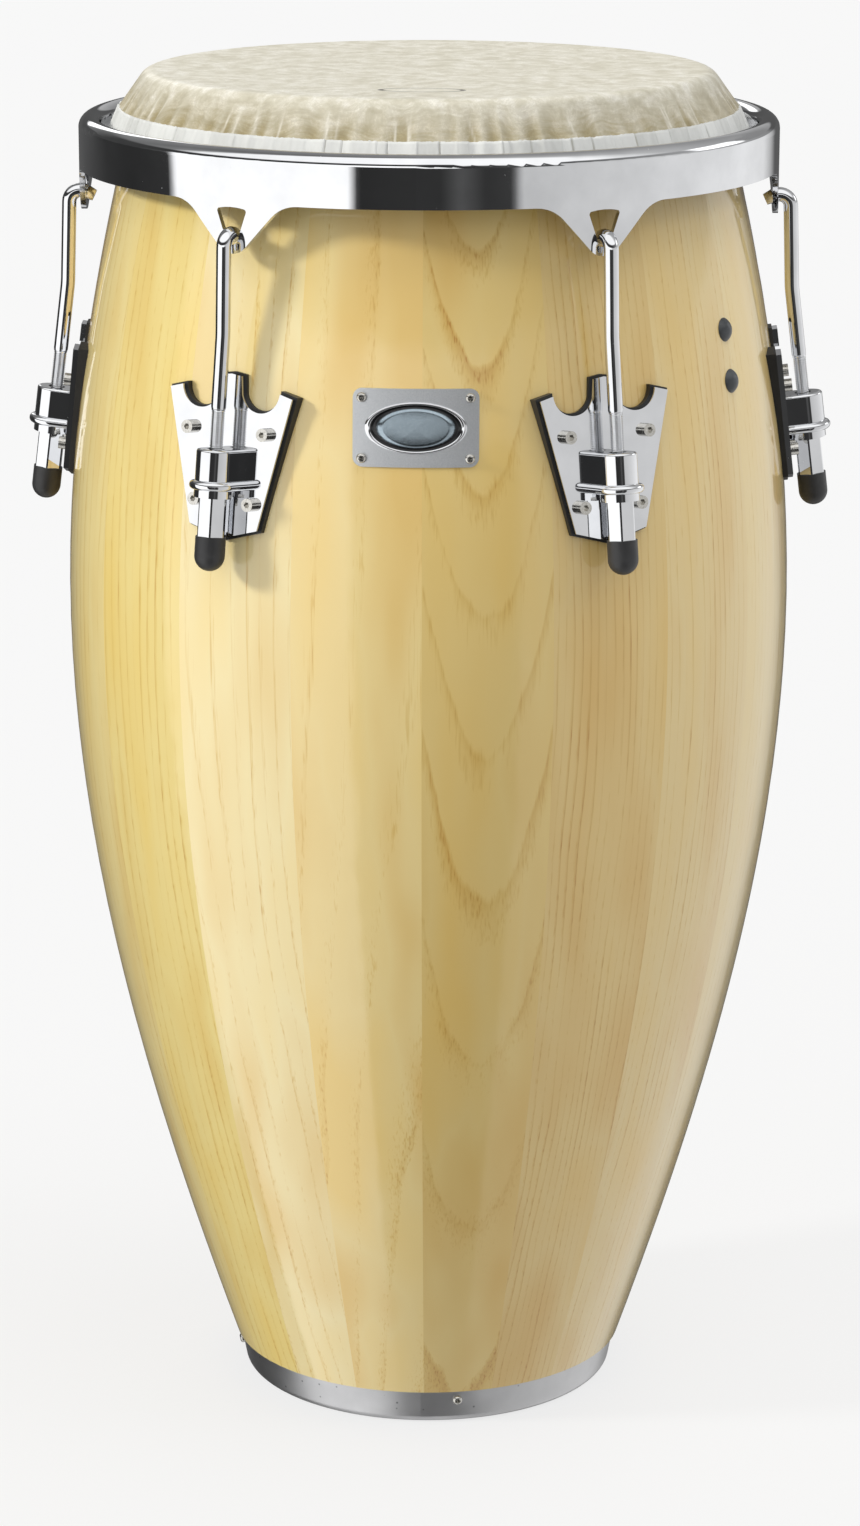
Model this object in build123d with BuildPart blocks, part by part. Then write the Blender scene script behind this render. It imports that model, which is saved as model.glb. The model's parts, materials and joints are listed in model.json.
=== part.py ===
from build123d import *
from math import atan, cos, degrees, radians, sin, sqrt, tan
import os

# Conga drum. Millimetres, +Z up, origin on the floor under the middle of the drum.
# The badge faces -Y. Azimuths are measured from -Y towards +X.

# Shell
drum_height = 762.0
head_radius = 158.75        # outside of the shell at its top edge
belly_swell = 45.05         # the belly's outside beyond the top edge's
belly_height = 466.0
foot_radius = 113.5         # outside of the shell just above the base ring
lower_fullness = 1.33       # how soon the shell falls away from the belly, downwards
upper_fullness = 1.26       # and upwards; 1.5 would be the fullest, 1 the flattest
stave_count = 18
stave_thickness = 11.0
first_joint_angle = 1.0
edge_round = 8.0            # bearing edge, outside
edge_bevel = 2.5            # bearing edge, inside

# Base ring
ring_height = 21.0
ring_wall = 1.8
ring_inset = 2.2            # step from the wood in to the ring
ring_taper = 4.0            # how much smaller the ring is at the floor
ring_flange = 10.5          # under the stave ends, inwards from the wall
ring_corner = 5.0
foot_chamfer = 4.0
ring_screw_count = 4
ring_screw_angle = 11.0
ring_screw_height = 15.0
ring_screw_shank = 3.0
ring_screw_length = 11.0
ring_screw_head = 5.6

# Head
film_thickness = 0.8
collar_angle = 54.0         # fall of the film's collar below the horizontal
collar_drop = 20.0          # from the playing surface to the top of the white band
band_angle = 66.0           # fall of the white band, and of the film under it
band_cover = 0.9            # thickness of the band over the film
band_drop = 11.5            # height of the band's sloping face
band_skirt = 1.3            # its upright lower edge
hoop_height = 13.0
hoop_shelf = 5.5            # ledge that the rim's lip bears on, outwards
hoop_shelf_height = 5.0

# Rim
rim_overhang = 35.45        # outside of the shell's top edge to the outside of the rim
rim_sheet = 3.0
rim_crest = 24.5            # below the playing surface
rim_roll = 6.5              # outside radius of the rolled top
rim_band = 28.0             # crest to the lower edge, between the tabs
tab_reach = 26.7            # lower edge to the tip of a tab
tab_half_width = 29.8
tab_slope = 43.0            # of a tab's sides, from the vertical
tab_tip_round = 10.5
tab_shoulder_round = 20.0
window_top = 3.5            # below the rim's lower edge
window_half_width = 9.5
window_arch = 1.2
window_corner = 1.5

# Hooks
lug_count = 6
first_lug_angle = 30.0
rod_diameter = 8.0
hook_stand_off = 6.8        # rim's outside to the rod's middle
hook_corner_drop = 12.8     # below the rim's lower edge
hook_bend = 6.5
hook_gentle_bend = 60.0
hook_bend_place = 64.0      # along the thread axis, above the plate's middle
stub_fall = 25.0            # below the horizontal
stub_length = 15.4
stub_clearance = 0.3
rod_end_chamfer = 0.8

# Side plates, placed on the shell at their middle
plate_height = 576.0
plate_top_half = 38.6
plate_foot_half = 21.4
plate_tip_height = 43.5     # middle tip above the plate's middle
plate_tip_peak = 0.9        # rise of the middle tip from its corners to its point
plate_shoulder_height = 35.4
plate_shoulder_slant = 2.0
plate_shoulder_width = 7.8
plate_tip_half = 6.2
plate_neck_half = 7.2       # where the scallops meet the middle tip
plate_neck_height = 33.0
plate_foot_height = 37.5    # lower corners below the plate's middle
plate_point = 6.0           # fall from the lower corners to the point
plate_scallop_floor = 24.3
plate_thickness = 3.0
gasket_thickness = 1.0      # at its thinnest, in the middle
gasket_margin = 1.2
gasket_depth = 9.0
rod_offset = 14.6           # thread axis in front of the shell
boss_top = 4.2
boss_radius = 9.7
boss_nose = 1.0             # its round is centred this far in front of the thread axis
boss_height = 21.6
boss_flange_radius = 12.5
boss_flange_height = 5.0
boss_bore_clearance = 0.6
washer_clearance = 0.2      # to the plate
washer_height = 4.0

# Tuning nuts and caps
nut_across_flats = 14.0
nut_length = 20.6
nut_edge = 0.8
nut_neck_radius = 6.0
nut_neck_length = 8.0
thread_clearance = 0.05
cap_radius = 8.1
cap_length = 18.4
cap_wall = 4.5
rod_end_gap = 1.5           # rod's end to the foot of the nut's neck

# Plate screws and their nuts
screw_diameter = 4.0
screw_head_radius = 3.5
screw_head_height = 4.4
screw_socket = 3.0
screw_socket_depth = 2.2
screw_hole_clearance = 0.1
screw_upper = (23.8, 13.5)
screw_lower = (17.2, -24.0)
flange_nut_radius = 5.0
flange_nut_flats = 7.0
flange_nut_flange = 1.2
flange_nut_height = 4.6
screw_end = 1.5

# Badge and plugs
badge_height = 596.0
badge_width = 66.0
badge_tall = 40.5
badge_corner = 5.0
badge_thickness = 1.2
badge_screw_inset = 4.6
badge_screw_head = 2.6
badge_screw_shank = 2.2
badge_screw_length = 9.0
badge_screw_hole = 13.0     # behind the badge's middle; the badge curves away from it
plug_angle = 60.0
plug_heights = (605.0, 632.5)
plug_radius = 6.5
plug_dome = 3.6
plug_stem_radius = 3.0
plug_stem_length = 14.0

# Worked out from the sizes above
shell_top = drum_height - film_thickness
belly_radius = head_radius + belly_swell
stave_angle = 360.0 / stave_count
rod_radius = rod_diameter / 2
rim_top = drum_height - rim_crest
rim_outer_radius = head_radius + rim_overhang
rim_lower_edge = rim_top - rim_band
rim_inner_radius = rim_outer_radius - rim_sheet
lip_inner_radius = rim_outer_radius - 2 * rim_roll
lug_angles = [first_lug_angle + 360.0 / lug_count * i for i in range(lug_count)]
ring_screw_angles = [ring_screw_angle + 360.0 / ring_screw_count * i for i in range(ring_screw_count)]


def shell_share(height):
    """Which half of the side a height is on, as (share of the half, its drop, its fullness)."""
    if height >= belly_height:
        share = (height - belly_height) / (shell_top - belly_height)
        return share, belly_radius - head_radius, upper_fullness
    share = (belly_height - height) / (belly_height - ring_height)
    return share, belly_radius - foot_radius, lower_fullness


def shell_radius(height):
    """Outside radius of the shell at a height: a cubic each side of the belly."""
    share, drop, fullness = shell_share(height)
    return belly_radius - drop * (fullness * share**2 + (1 - fullness) * share**3)


def shell_side(height, inset=0.0):
    """Control points of that cubic from the belly to a height, set in by a wall."""
    share, drop, fullness = shell_share(height)
    third = belly_radius - drop * fullness * share**2 / 3
    radii = [belly_radius, belly_radius, third, shell_radius(height)]
    return [(radius - inset, z) for radius, z in zip(radii, spread(belly_height, height, 4))]


def spread(start, end, count):
    """Evenly spaced values, both ends included."""
    return [start + (end - start) * i / (count - 1) for i in range(count)]


def outwards(azimuth):
    """The horizontal direction away from the drum's axis."""
    return Vector(sin(radians(azimuth)), -cos(radians(azimuth)), 0)


def sideways(azimuth):
    return Vector(cos(radians(azimuth)), sin(radians(azimuth)), 0)


def radial_plane(azimuth):
    """Upright plane through the drum's axis: x is the radius, y the height."""
    return Plane(origin=(0, 0, 0), x_dir=outwards(azimuth), z_dir=-sideways(azimuth))


def facing_plane(azimuth, radius, height, tilt=0.0):
    """Plane that faces outwards: x is sideways, y up, z out, leaning back by tilt."""
    origin = outwards(azimuth) * radius + Vector(0, 0, height)
    out = outwards(azimuth) * cos(radians(tilt)) + Vector(0, 0, sin(radians(tilt)))
    return Plane(origin=origin, x_dir=sideways(azimuth), z_dir=out)


def shell_lean(height):
    """How far the shell leans inwards at a height, in degrees."""
    step = 1.0
    return degrees(atan((shell_radius(height - step) - shell_radius(height + step)) / (2 * step)))


# The side plates lie along the shell's slope at their middle
plate_tilt = shell_lean(plate_height)
tilt_sin = sin(radians(plate_tilt))
tilt_cos = cos(radians(plate_tilt))
plate_radius = shell_radius(plate_height)
plate_back = gasket_thickness
plate_front = plate_back + plate_thickness
screw_places = [
    (side * place[0], place[1]) for place in (screw_upper, screw_lower) for side in (-1, 1)
]


def lug_plane(azimuth):
    return facing_plane(azimuth, plate_radius, plate_height, plate_tilt)


def rod_plane(azimuth, along):
    """Plane across the thread axis, along above the plate's middle; z runs up the rod."""
    face = lug_plane(azimuth)
    return Plane(origin=face.from_local_coords((0, along, rod_offset)), x_dir=face.x_dir, z_dir=face.y_dir)


def shell_depth(x, y, below):
    """Where a surface that lies below the shell's outside is, in a lug plane."""
    height = plate_height + y * tilt_cos - below * tilt_sin
    radius = shell_radius(height) - below
    return (sqrt(radius**2 - x**2) - plate_radius + y * tilt_sin) / tilt_cos


def over_edge(offset, angle):
    """Point on the bearing edge's round, or offset out of it, turned by angle from the top."""
    reach = edge_round + offset
    return (edge_middle[0] + reach * sin(radians(angle)), edge_middle[1] + reach * cos(radians(angle)))


def azimuth_gap(one, other):
    return abs((one - other + 180.0) % 360.0 - 180.0)


def save(part, name):
    part.label = name
    export_step(part, f"parts/{name}.step")


os.makedirs("parts", exist_ok=True)

# ---- staves -------------------------------------------------------------------------

# The bearing edge is an arc that leaves the flat top and meets the leaning side
edge_lean = shell_lean(shell_top - edge_round)
edge_middle = (
    head_radius - edge_round * tan(radians((90 - edge_lean) / 2)),
    shell_top - edge_round,
)
edge_foot = over_edge(0, 90 - edge_lean)

ring_top_radius = foot_radius - ring_inset
ring_floor_radius = ring_top_radius - ring_taper
ring_lean = ring_taper / ring_height
stave_foot = ring_wall
stave_foot_radius = ring_floor_radius + ring_lean * stave_foot - ring_wall
stave_step_radius = ring_top_radius - ring_wall
upper_side = shell_side(edge_foot[1])[:-1] + [edge_foot]
lower_side = shell_side(ring_height)
upper_inside = shell_side(shell_top - edge_bevel, stave_thickness)
lower_inside = shell_side(stave_foot, stave_thickness)
hole_reach = 40.0           # how far a drill starts in front of the wall and ends behind it
screw_hole_radius = screw_diameter / 2 + screw_hole_clearance
badge_half_share = degrees(atan(badge_width / 2 / belly_radius))
badge_screw_places = [
    (x * (badge_width / 2 - badge_screw_inset), y * (badge_tall / 2 - badge_screw_inset))
    for x in (-1, 1)
    for y in (-1, 1)
]


def nut_seat(place):
    """Depth of the flat seat of a flange nut on the inside of the shell."""
    return shell_depth(abs(place[0]) - flange_nut_radius, place[1], stave_thickness)


def cut_lug_holes(azimuth):
    with BuildSketch(lug_plane(azimuth).offset(hole_reach)) as holes:
        with Locations(*screw_places):
            Circle(screw_hole_radius)
    extrude(holes.sketch, amount=-2 * hole_reach, mode=Mode.SUBTRACT)
    for place in screw_places:
        with BuildSketch(lug_plane(azimuth).offset(nut_seat(place))) as nut_recess:
            with Locations(place):
                Circle(flange_nut_radius + screw_hole_clearance)
        extrude(nut_recess.sketch, amount=-hole_reach / 2, mode=Mode.SUBTRACT)


def cut_round_holes(plane, radius, depth, places=((0, 0),)):
    with BuildSketch(plane.offset(hole_reach / 2)) as holes:
        with Locations(*places):
            Circle(radius)
    extrude(holes.sketch, amount=-hole_reach / 2 - depth, mode=Mode.SUBTRACT)


def ring_screw_plane(azimuth):
    radius = ring_floor_radius + ring_lean * ring_screw_height
    return facing_plane(azimuth, radius, ring_screw_height, -degrees(atan(ring_lean)))


def plug_plane(height):
    return facing_plane(plug_angle, shell_radius(height), height, shell_lean(height))


badge_plane = facing_plane(0.0, shell_radius(badge_height), badge_height)
widest_plate_share = degrees(atan(plate_top_half / plate_radius))

for number in range(1, stave_count + 1):
    start = first_joint_angle + stave_angle * (number - 1)
    middle = start + stave_angle / 2
    with BuildPart() as stave:
        with BuildSketch(radial_plane(start)):
            with BuildLine():
                Bezier(*upper_side)
                Bezier(*lower_side)
                Bezier(*upper_inside)
                Bezier(*lower_inside)
                Polyline(
                    lower_side[-1],
                    (stave_step_radius, ring_height),
                    (stave_foot_radius + foot_chamfer * ring_lean, stave_foot + foot_chamfer),
                    (stave_foot_radius - foot_chamfer, stave_foot),
                    lower_inside[-1],
                )
                Polyline(upper_inside[-1], (upper_inside[-1][0] + edge_bevel, shell_top), over_edge(0, 0))
                ThreePointArc(over_edge(0, 0), over_edge(0, 45), edge_foot)
            make_face()
        revolve(axis=Axis.Z, revolution_arc=stave_angle)
        for azimuth in lug_angles:
            if azimuth_gap(middle, azimuth) < stave_angle / 2 + widest_plate_share:
                cut_lug_holes(azimuth)
        for azimuth in ring_screw_angles:
            if azimuth_gap(middle, azimuth) < stave_angle:
                cut_round_holes(
                    ring_screw_plane(azimuth),
                    ring_screw_shank / 2 + screw_hole_clearance,
                    ring_screw_length + ring_wall,
                )
        if azimuth_gap(middle, plug_angle) < stave_angle:
            for height in plug_heights:
                cut_round_holes(plug_plane(height), plug_stem_radius, hole_reach / 2)
        if azimuth_gap(middle, 0.0) < stave_angle / 2 + badge_half_share:
            cut_round_holes(
                badge_plane,
                badge_screw_shank / 2 + screw_hole_clearance,
                badge_screw_hole,
                badge_screw_places,
            )
    save(stave.part, f"stave_{number:02d}")

# ---- base ring ----------------------------------------------------------------------

with BuildPart() as base_ring:
    with BuildSketch(radial_plane(0)) as ring_section:
        with BuildLine():
            Polyline(
                (ring_top_radius, ring_height),
                (ring_floor_radius, 0),
                (ring_floor_radius - ring_wall - ring_flange, 0),
                (ring_floor_radius - ring_wall - ring_flange, ring_wall),
                (stave_foot_radius, stave_foot),
                (stave_step_radius, ring_height),
                close=True,
            )
        make_face()
        corners = ring_section.vertices()
        fillet(corners.sort_by_distance((ring_floor_radius, 0))[0], ring_corner)
        corners = ring_section.vertices()
        fillet(corners.sort_by_distance((stave_foot_radius, stave_foot))[0], ring_corner - ring_wall)
    revolve(axis=Axis.Z)
    for azimuth in ring_screw_angles:
        cut_round_holes(ring_screw_plane(azimuth), ring_screw_shank / 2 + screw_hole_clearance, ring_screw_length)
save(base_ring.part, "base_ring")

pan_head_share = 0.42       # height of a pan head to its diameter
pan_head_edge = 0.35        # of its height is the upright edge
recess_share = 0.28         # arm length of the cross recess to the head's diameter
recess_width = 0.12


def pan_screw(plane, head_diameter, shank_diameter, length, places=((0, 0),)):
    """Pan-head screws standing on a plane, with a cross recess."""
    head_height = head_diameter * pan_head_share
    with BuildSketch(plane) as heads:
        with Locations(*places):
            Circle(head_diameter / 2)
    extrude(heads.sketch, amount=head_height)
    head_top = plane.offset(head_height)
    rims = [
        edge
        for edge in edges(Select.LAST).filter_by(GeomType.CIRCLE)
        if abs(head_top.to_local_coords(edge.center()).Z) < head_height / 10
    ]
    fillet(rims, head_height * (1 - pan_head_edge))
    with BuildSketch(head_top) as recesses:
        with Locations(*places):
            Rectangle(2 * recess_share * head_diameter, recess_width * head_diameter)
            Rectangle(recess_width * head_diameter, 2 * recess_share * head_diameter)
    extrude(recesses.sketch, amount=-head_height / 2, mode=Mode.SUBTRACT)
    with BuildSketch(plane) as shanks:
        with Locations(*places):
            Circle(shank_diameter / 2)
    extrude(shanks.sketch, amount=-length)


with BuildPart() as base_ring_screws:
    for azimuth in ring_screw_angles:
        pan_screw(ring_screw_plane(azimuth), ring_screw_head, ring_screw_shank, ring_screw_length)
save(base_ring_screws.part, "base_ring_screws")

# ---- head: film, white band and flesh hoop ------------------------------------------

collar_sin = sin(radians(collar_angle))
collar_cos = cos(radians(collar_angle))

def down_collar(offset, height):
    """Point on the film's straight collar at a height."""
    leave = over_edge(offset, collar_angle)
    return (leave[0] + (leave[1] - height) * collar_cos / collar_sin, height)


band_sin = sin(radians(band_angle))
band_cos = cos(radians(band_angle))
knee_turn = radians(band_angle - collar_angle) / 2
knee_middle = radians(collar_angle) + knee_turn
knee = down_collar(film_thickness, drum_height - collar_drop)
knee_inner = (
    knee[0] - film_thickness * sin(knee_middle) / cos(knee_turn),
    knee[1] - film_thickness * cos(knee_middle) / cos(knee_turn),
)


def below_knee(offset, height):
    """Point on the film's lower run at a height, or offset out of it."""
    return (knee[0] + (offset + (knee[1] - height) * band_cos) / band_sin, height)


band_top = (knee[0] + band_cover * band_sin, knee[1] + band_cover * band_cos)
band_corner = below_knee(band_cover, knee[1] - band_drop)
band_foot = band_corner[1] - band_skirt
film_end = below_knee(0, band_foot + band_skirt / 2)
film_end_inner = below_knee(-film_thickness, film_end[1])

with BuildPart() as head_film:
    with BuildSketch(radial_plane(0)):
        with BuildLine():
            Line((0, drum_height), over_edge(film_thickness, 0))
            ThreePointArc(
                over_edge(film_thickness, 0),
                over_edge(film_thickness, collar_angle / 2),
                over_edge(film_thickness, collar_angle),
            )
            Polyline(
                over_edge(film_thickness, collar_angle),
                knee,
                film_end,
                film_end_inner,
                knee_inner,
                over_edge(0, collar_angle),
            )
            ThreePointArc(over_edge(0, collar_angle), over_edge(0, collar_angle / 2), over_edge(0, 0))
            Polyline(over_edge(0, 0), (0, shell_top), (0, drum_height))
        make_face()
    revolve(axis=Axis.Z)
save(head_film.part, "head_film")

with BuildPart() as collar_band:
    with BuildSketch(radial_plane(0)):
        with BuildLine():
            Polyline(
                knee,
                band_top,
                band_corner,
                (band_corner[0], band_foot),
                (film_end[0], band_foot),
                film_end,
                close=True,
            )
        make_face()
    revolve(axis=Axis.Z)
save(collar_band.part, "collar_band")

hoop_inner = film_end_inner[0] - film_thickness
hoop_shelf_radius = lip_inner_radius + hoop_shelf
with BuildPart() as flesh_hoop:
    with BuildSketch(radial_plane(0)):
        with BuildLine():
            Polyline(
                film_end_inner,
                film_end,
                (film_end[0], band_foot),
                (band_corner[0], band_foot),
                (hoop_shelf_radius, band_foot),
                (hoop_shelf_radius, band_foot - hoop_shelf_height),
                (hoop_inner, film_end[1] - hoop_height),
                (hoop_inner, film_end[1]),
                close=True,
            )
        make_face()
    revolve(axis=Axis.Z)
save(flesh_hoop.part, "flesh_hoop")

# ---- rim ----------------------------------------------------------------------------

roll_middle = (rim_outer_radius - rim_roll, rim_top - rim_roll)
roll_inside = rim_roll - rim_sheet
tab_tip = rim_lower_edge - tab_reach
tab_tip_half = tab_half_width - tab_reach * tan(radians(tab_slope))
hook_radius = rim_outer_radius + hook_stand_off
hook_corner = (hook_radius, rim_lower_edge - hook_corner_drop)
bend_middle = (
    hook_radius - hook_bend,
    hook_corner[1] - hook_bend * tan(radians((90 + stub_fall) / 2)),
)
window_foot = (
    bend_middle[1]
    + (hook_bend - rod_radius) / cos(radians(stub_fall))
    - (bend_middle[0] - rim_inner_radius) * tan(radians(stub_fall))
    - stub_clearance
)
window_foot_radius = rod_radius + stub_clearance
window_foot_middle = window_foot + window_foot_radius
window_head = rim_lower_edge - window_top
tab_front = 2 * rim_sheet
tab_gap_reach = 1.05 * rim_outer_radius * sin(radians(180.0 / lug_count))
tab_depth = tab_front + rim_outer_radius * (1 - cos(radians(180.0 / lug_count))) + 2 * rim_sheet

with BuildPart() as rim:
    with BuildSketch(radial_plane(0)):
        with BuildLine():
            Polyline(
                (rim_outer_radius, roll_middle[1]),
                (rim_outer_radius, tab_tip),
                (rim_inner_radius, tab_tip),
                (rim_inner_radius, roll_middle[1]),
            )
            ThreePointArc(
                (rim_inner_radius, roll_middle[1]),
                (roll_middle[0], roll_middle[1] + roll_inside),
                (lip_inner_radius + rim_sheet, roll_middle[1]),
            )
            Polyline(
                (lip_inner_radius + rim_sheet, roll_middle[1]),
                (lip_inner_radius + rim_sheet, band_foot),
                (lip_inner_radius, band_foot),
                (lip_inner_radius, roll_middle[1]),
            )
            ThreePointArc(
                (lip_inner_radius, roll_middle[1]),
                (roll_middle[0], rim_top),
                (rim_outer_radius, roll_middle[1]),
            )
        make_face()
    revolve(axis=Axis.Z)
    for azimuth in lug_angles:
        with BuildSketch(facing_plane(azimuth, rim_outer_radius + tab_front, 0)) as cut_away:
            Polygon(
                (-tab_gap_reach, rim_lower_edge),
                (-tab_half_width, rim_lower_edge),
                (-tab_tip_half, tab_tip),
                (tab_tip_half, tab_tip),
                (tab_half_width, rim_lower_edge),
                (tab_gap_reach, rim_lower_edge),
                (tab_gap_reach, tab_tip - rim_sheet),
                (-tab_gap_reach, tab_tip - rim_sheet),
                align=None,
            )
            near_tip = cut_away.vertices().sort_by_distance((0, tab_tip))
            fillet(near_tip[:2], tab_tip_round)
            near_top = cut_away.vertices().sort_by_distance((0, rim_lower_edge + tab_reach))
            fillet(near_top[:2], tab_shoulder_round)
            with BuildLine():
                Line((-window_foot_radius, window_foot_middle), (-window_half_width, window_head))
                ThreePointArc(
                    (-window_half_width, window_head),
                    (0, window_head + window_arch),
                    (window_half_width, window_head),
                )
                Line((window_half_width, window_head), (window_foot_radius, window_foot_middle))
                ThreePointArc(
                    (window_foot_radius, window_foot_middle),
                    (0, window_foot),
                    (-window_foot_radius, window_foot_middle),
                )
            make_face()
            in_window = cut_away.vertices().sort_by_distance((0, window_head))
            fillet(in_window[:2], window_corner)
        extrude(amount=-tab_depth, mode=Mode.SUBTRACT)
save(rim.part, "rim")

# ---- hooks, washers, tuning nuts and caps -------------------------------------------

flange_foot = boss_top - boss_height
washer_foot = flange_foot - washer_height
nut_foot = washer_foot - nut_length
neck_foot = nut_foot - nut_neck_length
rod_end = neck_foot - rod_end_gap
cap_foot = nut_foot - cap_length
nut_bore = rod_radius + thread_clearance


def on_thread_axis(along):
    """Radius and height of a point on the thread axis."""
    return (
        plate_radius - along * tilt_sin + rod_offset * tilt_cos,
        plate_height + along * tilt_cos + rod_offset * tilt_sin,
    )


stub_end = (
    hook_corner[0] - stub_length * cos(radians(stub_fall)),
    hook_corner[1] - stub_length * sin(radians(stub_fall)),
)

for number, azimuth in enumerate(lug_angles, start=1):
    section = radial_plane(azimuth)
    with BuildPart() as hook:
        with BuildLine(section) as hook_line:
            FilletPolyline(
                on_thread_axis(rod_end),
                on_thread_axis(hook_bend_place),
                hook_corner,
                stub_end,
                radius=[hook_gentle_bend, hook_bend],
            )
        with BuildSketch(Plane(origin=hook_line.line @ 0, z_dir=hook_line.line % 0)):
            Circle(rod_radius)
        sweep(path=hook_line.line)
        chamfer(hook.faces().filter_by(GeomType.PLANE).sort_by(Axis.Z)[0].edges(), rod_end_chamfer)
    save(hook.part, f"hook_{number}")

    with BuildPart() as tuning_nut:
        with BuildSketch(rod_plane(azimuth, washer_foot)):
            RegularPolygon(nut_across_flats / 2, 6, major_radius=False)
        extrude(amount=-nut_length)
        with BuildSketch(rod_plane(azimuth, washer_foot)):
            Circle(nut_across_flats / 2 + nut_edge)
        extrude(amount=-nut_length, mode=Mode.INTERSECT)
        with BuildSketch(rod_plane(azimuth, nut_foot)):
            Circle(nut_neck_radius)
        extrude(amount=-nut_neck_length)
        with BuildSketch(rod_plane(azimuth, washer_foot)):
            Circle(nut_bore)
        extrude(amount=-nut_length - nut_neck_length, mode=Mode.SUBTRACT)
    save(tuning_nut.part, f"tuning_nut_{number}")

    thread_axis = Axis(origin=rod_plane(azimuth, 0).origin, direction=rod_plane(azimuth, 0).z_dir)
    cap_section = Plane(
        origin=thread_axis.position, x_dir=lug_plane(azimuth).z_dir, z_dir=-sideways(azimuth)
    )
    with BuildPart() as nut_cap:
        with BuildSketch(cap_section):
            with BuildLine():
                Polyline(
                    (0, cap_foot),
                    (0, cap_foot + cap_wall),
                    (rod_radius + rod_end_chamfer, cap_foot + cap_wall),
                    (rod_radius + rod_end_chamfer, neck_foot),
                    (nut_neck_radius, neck_foot),
                    (nut_neck_radius, nut_foot),
                    (cap_radius, nut_foot),
                    (cap_radius, cap_foot + cap_radius),
                )
                RadiusArc((cap_radius, cap_foot + cap_radius), (0, cap_foot), cap_radius)
            make_face()
        revolve(axis=thread_axis)
    save(nut_cap.part, f"nut_cap_{number}")

with BuildPart() as lug_washers:
    for azimuth in lug_angles:
        with BuildSketch(rod_plane(azimuth, flange_foot)):
            Circle(rod_offset - plate_front - washer_clearance)
            Circle(rod_radius + boss_bore_clearance, mode=Mode.SUBTRACT)
        extrude(amount=-washer_height)
save(lug_washers.part, "lug_washers")

# ---- side plates and their gaskets --------------------------------------------------

boss_reach = rod_offset - plate_front + plate_thickness / 3
boss_edge = 1.5
flange_edge = 2.4

with BuildPart() as shell_form:
    with BuildSketch(radial_plane(0)):
        with BuildLine():
            Bezier(*upper_side)
            Bezier(*lower_side)
            Polyline(upper_side[-1], (0, edge_foot[1]), (0, ring_height), lower_side[-1])
        make_face()
    revolve(axis=Axis.Z)


def plate_outline():
    """The plate's outline, drawn as its right half and mirrored."""
    with BuildLine() as half:
        Polyline(
            (0, -plate_foot_height - plate_point),
            (plate_foot_half, -plate_foot_height),
            (plate_top_half, plate_shoulder_height - plate_shoulder_slant),
            (plate_top_half - plate_shoulder_width, plate_shoulder_height),
        )
        ThreePointArc(
            (plate_top_half - plate_shoulder_width, plate_shoulder_height),
            ((plate_top_half - plate_shoulder_width + plate_neck_half) / 2, plate_scallop_floor),
            (plate_neck_half, plate_neck_height),
        )
        Polyline(
            (plate_neck_half, plate_neck_height),
            (plate_tip_half, plate_tip_height - plate_tip_peak),
            (0, plate_tip_height),
        )
        mirror(about=Plane.YZ)
    make_face(half.edges())


def boss_outline(radius):
    """Round in front and straight-sided back to the plate."""
    with Locations((0, -boss_nose)):
        Circle(radius)
        Rectangle(2 * radius, boss_nose + boss_reach, align=(Align.CENTER, Align.MIN))
    with Locations((0, (boss_reach - boss_nose - radius) / 2)):
        Rectangle(4 * radius, boss_reach + boss_nose + radius, mode=Mode.INTERSECT)


for number, azimuth in enumerate(lug_angles, start=1):
    face = lug_plane(azimuth)
    inwards = Axis(origin=face.origin, direction=-face.z_dir)
    with BuildPart() as side_plate:
        with BuildSketch(rod_plane(azimuth, flange_foot)):
            boss_outline(boss_flange_radius)
        extrude(amount=boss_flange_height)
        flange_edges = side_plate.edges().filter_by(lambda e: abs(e.tangent_at(0.5).dot(face.y_dir)) < 0.5)
        fillet(flange_edges.sort_by(inwards)[:-2], flange_edge)
        with BuildSketch(rod_plane(azimuth, flange_foot)):
            boss_outline(boss_radius)
        extrude(amount=boss_height)
        top_face = side_plate.faces().sort_by(Axis(origin=face.origin, direction=face.y_dir))[-1]
        fillet(top_face.edges().sort_by(inwards)[:-1], boss_edge)
        with BuildSketch(face.offset(plate_back)):
            plate_outline()
        extrude(amount=plate_thickness)
        with BuildSketch(rod_plane(azimuth, flange_foot)):
            Circle(rod_radius + boss_bore_clearance)
        extrude(amount=boss_height, mode=Mode.SUBTRACT)
        with BuildSketch(face.offset(plate_back)):
            with Locations(*screw_places):
                Circle(screw_hole_radius)
        extrude(amount=plate_thickness, mode=Mode.SUBTRACT)
    save(side_plate.part, f"side_plate_{number}")

    with BuildPart() as plate_gasket:
        with BuildSketch(face.offset(plate_back)):
            plate_outline()
            offset(amount=gasket_margin, kind=Kind.INTERSECTION)
        extrude(amount=-gasket_depth)
        add(shell_form.part, mode=Mode.SUBTRACT)
        with BuildSketch(face.offset(plate_back)):
            with Locations(*screw_places):
                Circle(screw_hole_radius)
        extrude(amount=-gasket_depth, mode=Mode.SUBTRACT)
    save(plate_gasket.part, f"plate_gasket_{number}")

with BuildPart() as plate_screws:
    for azimuth in lug_angles:
        face = lug_plane(azimuth)
        for place in screw_places:
            with BuildSketch(face.offset(plate_front)):
                with Locations(place):
                    Circle(screw_head_radius)
            extrude(amount=screw_head_height)
            with BuildSketch(face.offset(plate_front + screw_head_height)):
                with Locations(place):
                    RegularPolygon(screw_socket / 2, 6, major_radius=False)
            extrude(amount=-screw_socket_depth, mode=Mode.SUBTRACT)
            with BuildSketch(face.offset(plate_front)):
                with Locations(place):
                    Circle(screw_diameter / 2)
            extrude(amount=nut_seat(place) - plate_front - flange_nut_height - screw_end)
save(plate_screws.part, "plate_screws")

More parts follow.
